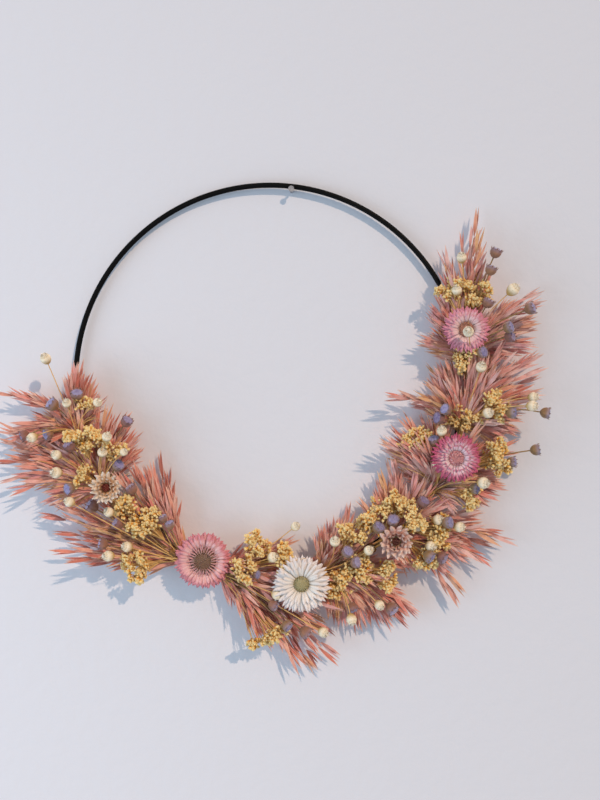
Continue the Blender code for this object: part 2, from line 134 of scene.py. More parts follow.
# Where each bunch is tied, which way its stems run (1 is anticlockwise), how many degrees behind the tie its
# stems come together, and how mauve it is. Its oats fill the space up to an edge, which is given from the
# inside of the ring to the outside. Then come stray oat stems, which stand out of it or have a depth in
# millimetres, and the heads. A broom cluster has its radius in millimetres as well, and a pod or button may
# have its size against the usual one and then its depth in millimetres.
BUNCHES = (
    Bunch("left_1", 200, -1, 0, 0.45,
        edge=((192, -28), (186, -20), (181, -13), (175, -7), (179, -3), (187, 4), (190, 14), (191, 32),
            (192, 48), (196, 52)),
        strays=((183, 58), (184, 48), (184, 36)),
        broom=((187, -13, 6),),
        pods=((185, -6), (187, 12, 1.15), (193, 36), (194, 19)),
        buttons=((175, 16), (188, -22, 0.85), (187, 0, 0.9), (194, 28))),
    Bunch("left_2", 219, -1, 0, 0.3,
        edge=((211, -38), (205, -41), (200, -41), (195, -36), (190, -12), (188, 10), (190, 34),
            (192, 54), (197, 56), (201, 60), (207, 50), (211, 40)),
        strays=((190, 60), (193, 60), (197, 66), (201, 68), (204, 60), (191, -25, 12), (193, -30, 10),
            (190, -19, 14)),
        broom=((195, -6, 13), (202, -25, 10), (207, 8, 7)),
        pods=((197, -38), (199, 5), (209, 16), (210, -19)),
        buttons=((200, 14), (200, -24), (204, 20, 1.1), (204, -15), (207, -30, 0.8))),
    Bunch("left_3", 241, -1, 7, 0.2,
        edge=((234, -22), (228, -36), (220, -46), (214, -42), (210, -26), (208, 0), (208, 20), (210, 36),
            (213, 44), (217, 58), (224, 48), (230, 40), (236, 30)),
        strays=((211, 50), (219, 58), (222, 54), (229, -35), (212, -28, 18), (211, -16, 22),
            (215, -34, 18)),
        broom=((220, -5, 9), (227, -9, 12), (233, 26, 13)),
        pods=((216, -4), (219, -18), (224, 6), (225, 24), (216, 12, 1.1), (233, -19, 0.8),
            (236, -18, 0.8)),
        buttons=((212, 20), (228, 26), (230, 13), (220, 4))),
    Bunch("right_6", 1, 1, 0, 0.85,
        edge=((7, -30), (13, -30), (21, -25), (27, -12), (31, -2), (35, 12), (38, 46), (33, 40),
            (25, 30), (17, 66), (12, 56), (7, 55)),
        strays=((18, 67), (37, 13), (38.5, 52), (37, 42)),
        broom=((26, 18, 15), (28, 2, 10), (7, -4, 10)),
        pods=((10, 31), (15, 50), (19, 22), (29, 42), (7, 9), (12, 30), (26, 33)),
        buttons=((20, 42, 1.2), (25, 4), (32, 18), (13, -1, 1.0, 39))),
    Bunch("right_5", 341, 1, 0, 0.8,
        edge=((346, -40), (352, -38), (358, -33), (364, -31), (370, -10), (370, 20), (366, 46),
            (363, 60), (357, 52), (352, 50), (347, 48)),
        strays=((351, -62), (351, -58, 20), (365, 56), (359, -20, 26), (362, 20, 26), (356, -30, 24),
            (365, 0, 22), (364, 5, 24)),
        broom=((350, 0, 11), (354, 26, 11)),
        pods=((350, -16), (352, 30), (353, 56), (347, -19)),
        buttons=((351, 14), (354, 42), (363, 7), (356, 45, 0.9))),
    Bunch("right_4", 321, 1, 0, 0.65,
        edge=((325, -38), (330, -52), (334, -45), (338, -46), (344, -42), (350, -10), (350, 20),
            (345, 46), (338, 40), (332, 42), (328, 40)),
        strays=((330, -56), (337, -48), (331, -50, 24), (334, -40, 26), (328, -36, 25), (337, -28, 28),
            (331, -26, 28)),
        broom=((330, 28, 9), (338, -34, 12), (342, 35, 13)),
        pods=((332, 22), (339, -18), (341, 40), (345, 54), (333, -4), (336, -18)),
        buttons=((334, 24, 1.1), (333, -10, 0.9), (343, -16))),
    Bunch("right_3", 301, 1, 0, 0.4,
        edge=((306, -34), (313, -37), (319, -37), (326, -38), (330, -5), (330, 30), (327, 66), (321, 64),
            (315, 46), (309, 36), (305, 32)),
        strays=((310, 70), (312, 64), (320, 69), (326, 70), (326, -14, 16), (327, -20, 20),
            (325, -8, 20), (328, -12, 18)),
        broom=((307, -26, 14), (311, 34, 10), (317, -19, 11), (319, 26, 12), (317, 1, 9)),
        pods=((311, -9), (314, 34), (321, -3), (312, 26), (321, 19)),
        buttons=((314, 22), (315, 4, 1.25), (320, 13), (322, 28))),
    Bunch("right_2", 281, 1, 0, 0.3,
        edge=((286, -28), (292, -29), (299, -35), (306, -37), (310, 0), (307, 30), (302, 59), (295, 58),
            (288, 50), (284, 42)),
        strays=((302, 60), (296, 60)),
        broom=((291, 19, 15), (302, 24, 11), (299, -20, 9), (297, 10, 10)),
        pods=((290, 30), (294, -8), (295, 1), (298, 42, 1.1), (306, -12)),
        buttons=((292, -19), (289, 36), (296, 35), (300, -3, 0.9))),
    Bunch("right_1", 259, 1, 7, 0.2,
        edge=((263, -23), (269, -26), (276, -27), (283, -29), (288, 0), (287, 30), (284, 64), (279, 73),
            (275, 64), (269, 50), (264, 30), (261, 18)),
        strays=((276, 68), (279, 74), (284, 66)),
        broom=((268, -27, 11), (272, 43, 9), (278, -16, 11), (264, -8, 10), (267, 48, 6)),
        pods=((271, 18), (274, 33), (278, 40, 1.15), (266, -4, 0.8)),
        buttons=((271, -17), (272, 10, 1.1), (280, -38, 0.9), (282, 41))),
)


# ---- finishes

def tone(color):
    """A colour as the eye sees it, from 0 to 255 a channel, as a shader's linear values."""
    return *(((channel / 255 + 0.055) / 1.055) ** 2.4 for channel in color), 1


def operator(operation, reflected=False):
    """The method that adds a Math node of this operation."""
    def apply(self, other):
        return self.math(operation, *((other, self) if reflected else (self, other)))
    return apply


class Flow:
    """A socket that Python's operators work on. Each of them adds the Math node that it stands for."""

    def __init__(self, recipe, socket):
        self.recipe, self.socket = recipe, socket

    def math(self, operation, *terms):
        return self.recipe.add("Math", {"operation": operation}, dict(enumerate(terms)))

    __add__ = __radd__ = operator("ADD")
    __mul__ = __rmul__ = operator("MULTIPLY")
    __sub__, __rsub__ = operator("SUBTRACT"), operator("SUBTRACT", reflected=True)
    __pow__ = operator("POWER")

    def sine(self):
        return self.math("SINE", self)

    def size(self):
        return self.math("ABSOLUTE", self)

    def between(self, low, high):
        """0 at low and 1 at high, with a smooth rise between them."""
        inputs = {"Value": self, "From Min": low, "From Max": high}
        return self.recipe.add("MapRange", {"interpolation_type": "SMOOTHSTEP"}, inputs)


class Recipe:
    """A material and the nodes that go into it."""

    def __init__(self, name, **constants):
        self.material = bpy.data.materials.new(name)
        self.material.use_nodes = True
        self.tree = self.material.node_tree
        self.shader = self.tree.nodes["Principled BSDF"]
        for socket, value in constants.items():
            self.shader.inputs[socket.replace("_", " ")].default_value = value

    def add(self, kind, settings=(), inputs=(), output=0):
        """Adds a node, with its settings first and then the values or links of its sockets."""
        node = self.tree.nodes.new("ShaderNode" + kind)
        for name, value in dict(settings).items():
            if name == "stops":
                self.set_stops(node.color_ramp.elements, value)
            else:
                setattr(node, name, value)
        for name, value in dict(inputs).items():
            self.feed(node.inputs[name], value)
        return Flow(self, node.outputs[output])

    def set_stops(self, elements, stops):
        while len(elements) < len(stops):
            elements.new(1)
        for element, (position, color) in zip(elements, stops):
            element.position, element.color = position, tone(color)

    def feed(self, socket, value):
        if isinstance(value, Flow):
            self.tree.links.new(value.socket, socket)
        else:
            socket.default_value = value

    def grain(self):
        """The piece's own across, along and tint."""
        vector = self.add("Attribute", {"attribute_name": "grain"}, output="Vector")
        return [self.add("SeparateXYZ", inputs={0: vector}, output=axis) for axis in "XYZ"]

    def behind(self):
        """1 at the wall and 0 from the middle of the bunches forward: the mask for the oats' painted shade
        towards the wall.
        """
        place_of = self.add("TexCoord", output="Object")
        return self.add("SeparateXYZ", inputs={0: place_of}, output="Y").between(*PAINTED_SHADE_DEPTHS)

    def noise(self, scale, detail=2.0):
        """Soft patches, from 0 to 1, so many to the metre."""
        inputs = {"Vector": self.add("TexCoord", output="Object"), "Scale": scale, "Detail": detail}
        return self.add("TexNoise", inputs=inputs).between(0.25, 0.75)

    def ramp(self, factor, *stops):
        return self.add("ValToRGB", {"stops": stops}, {0: factor})

    def mix(self, factor, first, second):
        """A blend of two colours. Each is a tone or a socket."""
        first, second = (color if isinstance(color, Flow) else tone(color) for color in (first, second))
        return self.add("Mix", {"data_type": "RGBA"}, {0: factor, 6: first, 7: second}, output=2)

    def bump(self, height, distance, strength=0.6):
        inputs = {"Height": height, "Distance": distance, "Strength": strength}
        self.feed(self.shader.inputs["Normal"], self.add("Bump", inputs=inputs))

    def done(self, color, roughness=None):
        self.feed(self.shader.inputs["Base Color"], color)
        if roughness is not None:
            self.feed(self.shader.inputs["Roughness"], roughness)
        return self.material


def satin_black():
    recipe = Recipe("satin_black", Specular_IOR_Level=0.12)
    worn = recipe.noise(260, 4)
    recipe.bump(recipe.noise(900, 3), 0.0001, 0.25)
    color = recipe.mix(worn, (1, 2, 3), (5, 7, 9))
    return recipe.done(color, 0.5 + worn * 0.2)


def florist_wire():
    recipe = Recipe("florist_wire", Metallic=0.3)
    tarnish = recipe.noise(500, 3)
    recipe.bump(tarnish, 0.00005, 0.3)
    return recipe.done(recipe.mix(tarnish, (168, 128, 78), (112, 82, 54)), 0.45 + tarnish * 0.25)


def oat_husk():
    """Papery husks: each copy's own pink, mauve, tan or rust, with fine veins, painted shade at the foot and
    towards the wall, painted highlight on the edges, and a paler tip that is partly its own colour and partly
    painted highlight.
    """
    recipe = Recipe("oat_husk", Sheen_Weight=0.15)
    across, along, tint = recipe.grain()
    patches = recipe.noise(160, 3)
    hue = recipe.ramp(tint, (0.0, (198, 92, 74)), (0.2, (242, 138, 110)), (0.38, (255, 208, 184)),
                      (0.52, (238, 134, 124)), (0.7, (255, 222, 216)), (0.86, (232, 150, 154)),
                      (1.0, (246, 196, 130)))
    veins = (across * 9.5).sine().size() ** 2
    # Painted shade: husks nearer the wall are darkened towards a deep red-brown
    deep = recipe.mix(recipe.behind() * 0.45, hue, (152, 56, 46))
    # Painted shade at the foot of each husk, where the husks crowd together
    shaded = recipe.mix(0.75 * (1 - along.between(0.0, 0.42)), deep, (128, 46, 32))
    streaked = recipe.mix(veins * 0.3, shaded, (255, 226, 218))
    mottled = recipe.mix(patches * 0.35, streaked, (194, 90, 78))
    # Painted highlight: the husks' edges are paled
    highlit_edges = recipe.mix(across.size().between(0.6, 1.0) * 0.4, mottled, (252, 226, 212))
    # A paler tip: partly the husk's own drier colour and partly painted highlight
    color = recipe.mix(along.between(0.72, 1.0) * 0.6, highlit_edges, (250, 224, 206))
    recipe.bump(veins + patches * 0.5, 0.0002)
    return recipe.done(color, 0.62 + veins * 0.15)


def straw(name, dark, light):
    """Stalks with lengthwise fibres and patches of darker and paler straw."""
    recipe = Recipe(name)
    patches = recipe.noise(70, 3)
    fibres = recipe.noise(1500, 2)
    color = recipe.mix(patches, dark, light)
    recipe.bump(fibres, 0.0001, 0.4)
    return recipe.done(recipe.mix(fibres * 0.35, color, (236, 206, 150)), 0.6 + patches * 0.2)


def broom_kernel():
    """Dry little golden buds, with painted shade in amber at the foot and a painted highlight in cream at the
    top.
    """
    recipe = Recipe("broom_kernel")
    across, along, tint = recipe.grain()
    patches = recipe.noise(420, 2)
    body = recipe.ramp(tint, (0.0, (252, 166, 44)), (0.35, (255, 192, 70)), (0.7, (255, 210, 98)),
                       (1.0, (255, 232, 158)))
    # Painted highlight: the top of each kernel is paled to cream
    top = recipe.mix(along.between(0.3, 0.9), body, (255, 236, 176))
    # Painted shade: the foot of each kernel, down among the others, is darkened to amber
    foot = recipe.mix(0.6 * (1 - along.between(0.0, 0.5)), top, (218, 136, 48))
    recipe.bump((across * 6).sine() + patches, 0.0002)
    return recipe.done(recipe.mix(patches * 0.25, foot, (196, 134, 60)), 0.75 + patches * 0.15)


def pod_cup():
    """A dry seed cup, olive-brown at the foot and greyer and more lilac towards its rim."""
    recipe = Recipe("pod_cup", Sheen_Weight=0.2)
    across, along, tint = recipe.grain()
    patches = recipe.noise(380, 3)
    foot = recipe.ramp(tint, (0.0, (152, 120, 76)), (0.5, (164, 120, 88)), (1.0, (150, 100, 88)))
    rim = recipe.ramp(tint, (0.0, (172, 156, 172)), (0.5, (166, 140, 150)), (1.0, (150, 112, 120)))
    color = recipe.mix(along.between(0.45, 1.0), foot, rim)
    ribs = (across * 28).sine()
    recipe.bump(ribs * 0.6 + patches, 0.0003)
    return recipe.done(recipe.mix(patches * 0.35, color, (96, 72, 56)), 0.7 + patches * 0.2)


def pod_fluff():
    """The soft lilac floss in a pod's mouth, with painted shade at its foot, down in the cup."""
    recipe = Recipe("pod_fluff", Sheen_Weight=0.5, Sheen_Roughness=0.4)
    _, along, tint = recipe.grain()
    patches = recipe.noise(700, 3)
    floss = recipe.ramp(tint, (0.0, (114, 110, 168)), (0.4, (134, 130, 182)), (0.75, (162, 152, 190)),
                        (1.0, (112, 92, 140)))
    recipe.bump(patches, 0.0004)
    # Painted shade: the floss darkens towards its foot, down in the cup
    color = recipe.mix(0.45 * (1 - along.between(0.0, 0.7)), floss, (104, 88, 134))
    return recipe.done(recipe.mix(patches * 0.3, color, (226, 222, 238)), 0.85 + patches * 0.1)


def button_husk():
    """The scaly base of a button flower, olive-tan below and cream above."""
    recipe = Recipe("button_husk")
    across, along, tint = recipe.grain()
    patches = recipe.noise(460, 3)
    foot = recipe.mix(tint, (196, 156, 84), (216, 182, 118))
    color = recipe.mix(along.between(0.15, 0.8), foot, (250, 240, 216))
    recipe.bump((across * 20).sine() * 0.5 + patches, 0.0002)
    return recipe.done(recipe.mix(patches * 0.2, color, (176, 150, 100)), 0.65 + patches * 0.15)


def button_floss():
    """The white fibres that close a button flower's top."""
    recipe = Recipe("button_floss", Sheen_Weight=0.3)
    _, along, tint = recipe.grain()
    patches = recipe.noise(800, 2)
    color = recipe.mix(along.between(0.1, 0.8), (238, 222, 190), (255, 252, 242))
    recipe.bump(patches, 0.0002)
    return recipe.done(recipe.mix(tint * 0.3, color, (226, 214, 190)), 0.8 + patches * 0.1)


def bract(name, foot, middle, tip, dark):
    """A strawflower's stiff bracts: three tones from foot to tip and fine lengthwise lines. The inner rows
    have a low tint, and are paler."""
    recipe = Recipe(name, Specular_IOR_Level=0.6, Sheen_Weight=0.1)
    across, along, tint = recipe.grain()
    patches = recipe.noise(240, 3)
    lines = (across * 14).sine().size() ** 1.5
    body = recipe.mix(along.between(0.05, 0.5), foot, middle)
    color = recipe.mix(along.between(0.4, 0.85), body, tip)
    paled = recipe.mix(0.75 * (1 - tint) * (1 - along.between(0.6, 1.0)), color, foot)
    toned = recipe.mix(tint * 0.4, paled, dark)
    edge = recipe.mix(across.size().between(0.55, 1.0) * 0.3, toned, dark)
    recipe.bump(lines + patches * 0.4, 0.0002)
    return recipe.done(recipe.mix(lines * 0.16, edge, (255, 250, 248)), 0.38 + patches * 0.2)


def floret(name, foot, tip):
    """The small tubular florets in a strawflower's middle."""
    recipe = Recipe(name)
    _, along, tint = recipe.grain()
    patches = recipe.noise(600, 3)
    color = recipe.mix(along.between(0.4, 1.0), foot, tip)
    recipe.bump(patches, 0.0002)
    return recipe.done(recipe.mix(tint * 0.4 + patches * 0.15, color, foot), 0.7 + patches * 0.2)


def plaster():
    """A painted wall. Its back isn't drawn, so that the wreath can be seen from behind."""
    recipe = Recipe("plaster", Roughness=0.9, Base_Color=(0.72, 0.765, 0.855, 1))
    recipe.bump(recipe.noise(90, 5), 0.0008, 0.25)
    shader = recipe.tree.nodes["Material Output"].inputs["Surface"]
    behind = recipe.add("NewGeometry", output="Backfacing")
    see_through = recipe.add("BsdfTransparent")
    recipe.feed(shader, recipe.add("MixShader", (), {0: behind, 1: Flow(recipe, recipe.shader.outputs[0]),
                                                    2: see_through}))
    return recipe.material


# ---- small shapes

def give_grain(work, find):
    layer = work.verts.layers.float_vector.new("grain")
    for vert in work.verts:
        vert[layer] = find(vert.co)


def shape_from(work, name="shape"):
    mesh = bpy.data.meshes.new(name)
    work.to_mesh(mesh)
    work.free()
    return mesh


def blade(outline, width, thickness, cup=0.0, curl=0.0, sides=4):
    """A closed leaf of length 1 that grows from the origin along Z and faces -Y. outline is its half-width
    at even steps from foot to tip, as a share of the widest. cup lifts its edges and curl its tip."""
    work = bmesh.new()
    bmesh.ops.create_cone(work, cap_ends=True, segments=sides, radius1=1, radius2=1, depth=1,
                          matrix=move(0, 0, 0.5))
    lengthwise = [edge for edge in work.edges if abs(edge.verts[0].co.z - edge.verts[1].co.z) > 0.5]
    bmesh.ops.subdivide_edges(work, edges=lengthwise, cuts=len(outline) - 2)
    give_grain(work, lambda co: (co.x, co.z, 0))
    steps = np.linspace(0, 1, len(outline))
    for vert in work.verts:
        across, deep, along = vert.co
        share = float(np.interp(along, steps, outline))
        lift = cup * width * across * across * share + curl * along * along
        vert.co = (across * share * width / 2, deep * share * thickness / 2 - lift, along)
    return shape_from(work)


def turned(profile, sides, ribs=0, rib_depth=0.0):
    """A closed shape turned round Z from (radius, height) points that start and end on the axis. Its ribs
    grow towards the top."""
    work = bmesh.new()
    verts = [work.verts.new((radius, 0, height)) for radius, height in profile]
    edges = [work.edges.new(pair) for pair in zip(verts, verts[1:])]
    bmesh.ops.spin(work, geom=verts + edges, cent=(0, 0, 0), axis=(0, 0, 1), angle=math.tau, steps=sides,
                   use_merge=True)
    bmesh.ops.remove_doubles(work, verts=work.verts, dist=1e-5)
    bmesh.ops.recalc_face_normals(work, faces=work.faces)
    low, high = (pick(height for radius, height in profile) for pick in (min, max))
    give_grain(work, lambda co: (math.atan2(co.y, co.x) / math.pi, (co.z - low) / (high - low), 0))
    for vert in work.verts:
        rise = max((vert.co.z - low) / (high - low), 0)
        around = math.atan2(vert.co.y, vert.co.x)
        vert.co.xy *= 1 + rib_depth * rise * math.cos(ribs * around)
    return shape_from(work)


def joined(*parts):
    """One shape from (shape, matrix) pairs."""
    work = bmesh.new()
    for shape, matrix in parts:
        copy = shape.copy()
        copy.transform(matrix)
        work.from_mesh(copy)
        bpy.data.meshes.remove(copy)
    return shape_from(work)


def turn(degrees, axis):
    return Matrix.Rotation(math.radians(degrees), 4, axis)


def move(x, y, z):
    return Matrix.Translation((x, y, z))


def put(name, data):
    """A new object at the origin."""
    obj = bpy.data.objects.new(name, data)
    bpy.context.scene.collection.objects.link(obj)
    return obj


def spikelet(opening, curl, fold):
    """Two long husks, hinged at the foot like a beak, round a shorter floret."""
    outline = (0.18, 0.72, 1.0, 0.86, 0.5, 0.05)
    husk = blade(outline, 0.13, 0.05, cup=0.35, curl=curl)
    second = blade(outline, 0.115, 0.05, cup=0.35, curl=curl * 0.6)
    kernel = blade((0.3, 1.0, 0.9, 0.08), 0.10, 0.09, curl=curl * 0.5)
    return joined(
        (husk, turn(opening, "Y") @ turn(fold, "Z")),
        (second, turn(-opening, "Y") @ turn(-fold, "Z") @ Matrix.Diagonal((1, 1, 0.93, 1))),
        (kernel, move(0, 0.02, 0.05) @ Matrix.Scale(0.8, 4)))


# ---- putting them together

def place(angle, offset, depth):
    """The point at an angle round the hoop, an offset out from the rod and a depth in front of it."""
    around = math.radians(angle)
    radius = HOOP_RADIUS + offset
    return HOOP_CENTRE + Vector((radius * math.cos(around), -depth, radius * math.sin(around)))


def along_rod(angle, flow):
    around = math.radians(angle)
    return Vector((-math.sin(around), 0, math.cos(around))) * flow


def outwards(angle):
    around = math.radians(angle)
    return Vector((math.cos(around), 0, math.sin(around)))


def aim(point, direction, size=1.0):
    """A matrix at point whose Z runs along direction and whose -Y faces the front as nearly as it can."""
    up = direction.normalized()
    back = -(FRONT - up * FRONT.dot(up)).normalized()
    turned_to = Matrix((back.cross(up), back, up)).transposed().to_4x4()
    return Matrix.Translation(point) @ turned_to @ Matrix.Scale(size, 4)


def bend(start, control, end, steps):
    shares = [step / steps for step in range(steps + 1)]
    return [start * (1 - t) ** 2 + control * 2 * t * (1 - t) + end * t * t for t in shares]


SHAPES, FINISHES = {}, {}


class Growth:
    """A piece that is put together from stalks and from copies of small shapes. Each shape and each finish
    is given by its name."""

    def __init__(self):
        self.work, self.finishes, self.stalks = bmesh.new(), [], {}

    def add(self, shape, finish, matrix, tint=0.5):
        copy = SHAPES[shape].copy()
        copy.transform(matrix)
        self.take(copy, finish, tint)

    def take(self, mesh, finish, tint):
        if finish not in self.finishes:
            self.finishes.append(finish)
        index = self.finishes.index(finish)
        mesh.polygons.foreach_set("material_index", [index] * len(mesh.polygons))
        grain = mesh.attributes.get("grain") or mesh.attributes.new("grain", "FLOAT_VECTOR", "POINT")
        values = np.zeros(len(mesh.vertices) * 3, np.float32)
        grain.data.foreach_get("vector", values)
        values[2::3] = tint
        grain.data.foreach_set("vector", values)
        self.work.from_mesh(mesh)
        bpy.data.meshes.remove(mesh)

    def stalk(self, points, radii, finish):
        self.stalks.setdefault(finish, []).append((points, radii))

    def grow_stalks(self, finish, stalks):
        """A round tube along each stalk, with closed ends."""
        curve = bpy.data.curves.new("stalks", "CURVE")
        curve.dimensions, curve.use_fill_caps = "3D", True
        curve.bevel_depth, curve.bevel_resolution = MM, 1
        for points, radii in stalks:
            spline = curve.splines.new("POLY")
            spline.points.add(len(points) - 1)
            for target, point, radius in zip(spline.points, points, radii):
                target.co, target.radius = (*point, 1), radius / MM
        guide = put("stalks", curve)
        depsgraph = bpy.context.evaluated_depsgraph_get()
        mesh = bpy.data.meshes.new_from_object(guide.evaluated_get(depsgraph))
        bpy.data.objects.remove(guide)
        bpy.data.curves.remove(curve)
        self.take(mesh, finish, 0.5)

    def piece(self, name, node, slot):
        for finish, stalks in self.stalks.items():
            self.grow_stalks(finish, stalks)
        bmesh.ops.remove_doubles(self.work, verts=self.work.verts, dist=1e-8)
        mesh = shape_from(self.work, name)
        for finish in self.finishes:
            mesh.materials.append(FINISHES[finish])
        mesh.shade_smooth()
        mesh.set_sharp_from_angle(angle=math.radians(70))
        obj = put(name, mesh)
        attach(obj, "root")
        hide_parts(node)


def front_of(node, spot, reach):
    """How far the frame's node comes forward near a spot on the wreath, or None where it has nothing."""
    points = np.array([vert.co for vert in frame["nodes"][node].data.vertices])
    near = points[np.hypot(points[:, 0] - spot.x, points[:, 2] - spot.z) < reach]
    return -near[:, 1].min() if len(near) else None


CROWDING = 0.85  # how near two heads may come, against the sum of their radii
taken = []  # the middle and radius of each head, pod and cluster set so far


def settle(node, angle, offset, radius, usual, given=None):
    """The middle of a head: at the depth given in millimetres, or where the frame has it, or else far enough
    forward to clear the other heads."""
    flat = place(angle, offset * MM, 0)
    front = front_of(node, flat, radius * 0.7)
    if given is not None:
        depth = given * MM
    elif front is not None:
        depth = front - radius
    else:
        depth = usual
        while any((flat + FRONT * depth - middle).length < (radius + other) * CROWDING
                  for middle, other in taken):
            depth += MM
    spot = flat + FRONT * depth
    taken.append((spot, radius))
    return spot


def stem_to(bunch, lane, tip, chance, usual, steps=8):
    """A stem from its cut end, through the place where its bunch comes together, bowing out to its tip."""
    angle = bunch.tie - bunch.flow * bunch.gather
    run = along_rod(angle, bunch.flow)
    side = chance.uniform(0, math.tau)
    within = outwards(angle) * math.cos(side) + FRONT * math.sin(side)
    within *= BUNDLE_RADIUS
    middle = place(angle, 0, lane) + within * (1 + bunch.gather / 3) * math.sqrt(chance.random())
    start = middle + run * STEM_START
    control = start + run * (tip - start).length * (STEM_STRAIGHT - bunch.gather * 0.04)
    control.y -= max(-tip.y - usual, 0) * STEM_BOW
    cut = middle - run * CUT_END * chance.uniform(0.75, 1.1)
    return [cut, middle] + bend(start, control, tip, steps)


def somewhere(bunch, chance, nearest):
    """An angle and an offset, in millimetres, somewhere in the space that the bunch's oats fill, and how
    far out from the tie that is, as a share of the way to the edge."""
    spot = chance.uniform(0, len(bunch.edge) - 1.001)
    (angle, offset), (next_angle, next_offset) = bunch.edge[int(spot)], bunch.edge[int(spot) + 1]
    far = chance.uniform(0.9, 1.04) if chance.random() < AT_THE_EDGE else chance.uniform(nearest, 0.93)
    angle += (next_angle - angle) * (spot % 1) - bunch.tie
    offset += (next_offset - offset) * (spot % 1)
    return bunch.tie + angle * far, offset * far, far


def seeded(kind, of):
    """Chance for one piece, the same in every run."""
    return random.Random(f"{SEED} {kind} {of.name}")


def taper(points, foot, tip):
    return [foot + (tip - foot) * step / (len(points) - 1) for step in range(len(points))]


# ---- the pieces

def black_rod():
    """The hoop's round rod."""
    work = bmesh.new()
    bmesh.ops.create_circle(work, segments=20, radius=ROD_RADIUS, matrix=move(HOOP_RADIUS, 0, 0))
    bmesh.ops.spin(work, geom=work.verts[:] + work.edges[:], cent=(0, 0, 0), axis=(0, 1, 0), angle=math.tau,
                   steps=180, use_merge=True)
    bmesh.ops.remove_doubles(work, verts=work.verts, dist=1e-6)
    bmesh.ops.recalc_face_normals(work, faces=work.faces)
    bmesh.ops.translate(work, verts=work.verts, vec=HOOP_CENTRE)
    growth = Growth()
    growth.take(shape_from(work), "satin_black", 0.5)
    growth.piece("black_rod", "hoop", "black_metal")


def wire_tie(bunch):
    """Binding wire wound round the rod and the four bundles in front of it."""
    turns, steps, wire = 7, 18, 0.00042
    low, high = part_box(f"tie_{bunch.name}")
    half_depth = (high.y - low.y) / 2 - wire
    half_width = ROD_RADIUS + 0.0014
    middle = place(bunch.tie, 0, -(low.y + high.y) / 2)
    out, run = outwards(bunch.tie), along_rod(bunch.tie, 1)
    points = []
    for step in range(turns * steps + 1):
        around = math.tau * step / steps
        forward = (step / (turns * steps) - 0.5) * (turns - 1) * 2.05 * wire
        wobble = 1 + 0.03 * math.sin(step * 0.7)
        points.append(middle + out * half_width * wobble * math.cos(around)
                      + FRONT * half_depth * math.sin(around) + run * forward)
    growth = Growth()
    growth.stalk(points, [wire] * len(points), "florist_wire")
    growth.piece(f"wire_{bunch.name}", f"tie_{bunch.name}", "binding_wire")


def oats(bunch):
    """A fan of oat stems, each with spikelets on alternate sides along its outer half."""
    growth, chance = Growth(), seeded("oats", bunch)

    def hue():
        """Salmon and pink, or mauve in some bunches, with a few tan ones."""
        if chance.random() < TAN_OATS:
            return chance.uniform(0.95, 1)
        return min(max(chance.gauss(0.24 + 0.46 * bunch.mauve, 0.19), 0), 0.92)

    def grow(tip, spread, highest_tint=1.0):
        points = stem_to(bunch, OATS_LANE, tip, chance, STRAY_DEPTH[1], 14)
        reach = len(points) - 1
        last = max(reach - OAT_TIP / (points[-1] - points[-2]).length, reach * 0.45)
        stalk = points[:int(last) + 1]
        growth.stalk(stalk, taper(stalk, OAT_STEM_RADIUS * 1.1, OAT_STEM_RADIUS * 0.6), "straw")
        stem_tint = min(hue(), highest_tint)
        for index in range(SPIKELETS):
            share = index / (SPIKELETS - 1)
            at = max(last * (0.42 + 0.58 * share), 1)
            before, after = points[int(at)], points[int(at) + 1]
            foot = before.lerp(after, at % 1)
            ahead = (after - before).normalized()
            lean = 0 if share == 1 else (-1) ** index * chance.uniform(4, spread)
            direction = Matrix.Rotation(math.radians(lean), 3, FRONT) @ ahead
            direction += FRONT * chance.uniform(-0.12, 0.16)
            length = chance.uniform(*SPIKELET_LENGTH)
            roll = turn(chance.uniform(-70, 70), "Z")
            tint = min(max(stem_tint + chance.uniform(-0.22, 0.22), 0), 1)
            kind = chance.choice(SPIKELET_KINDS)
            growth.add(kind, "oat_husk", aim(foot, direction, length) @ roll, tint)

    for index in range(OAT_STEMS):
        angle, offset, far = somewhere(bunch, chance, 0.45)
        over_the_next = max(0, 1 - abs(offset) / 24) * far * far
        depth = chance.uniform(*OAT_DEPTH) + NEAR_TIE_LIFT * (1 - far) + OVER_NEXT_LIFT * over_the_next
        depth += FRONT_LIFT if index % FRONT_OATS == 0 else 0
        grow(place(angle, offset * MM, depth), 19)
    for angle, offset, depth in ((*stray, None)[:3] for stray in bunch.strays):
        usual = chance.uniform(*STRAY_DEPTH)
        grow(place(angle, offset * MM, usual if depth is None else depth * MM), 13, 0.75)
    growth.piece(f"spikelets_{bunch.name}", f"oats_{bunch.name}", "pink_oats")


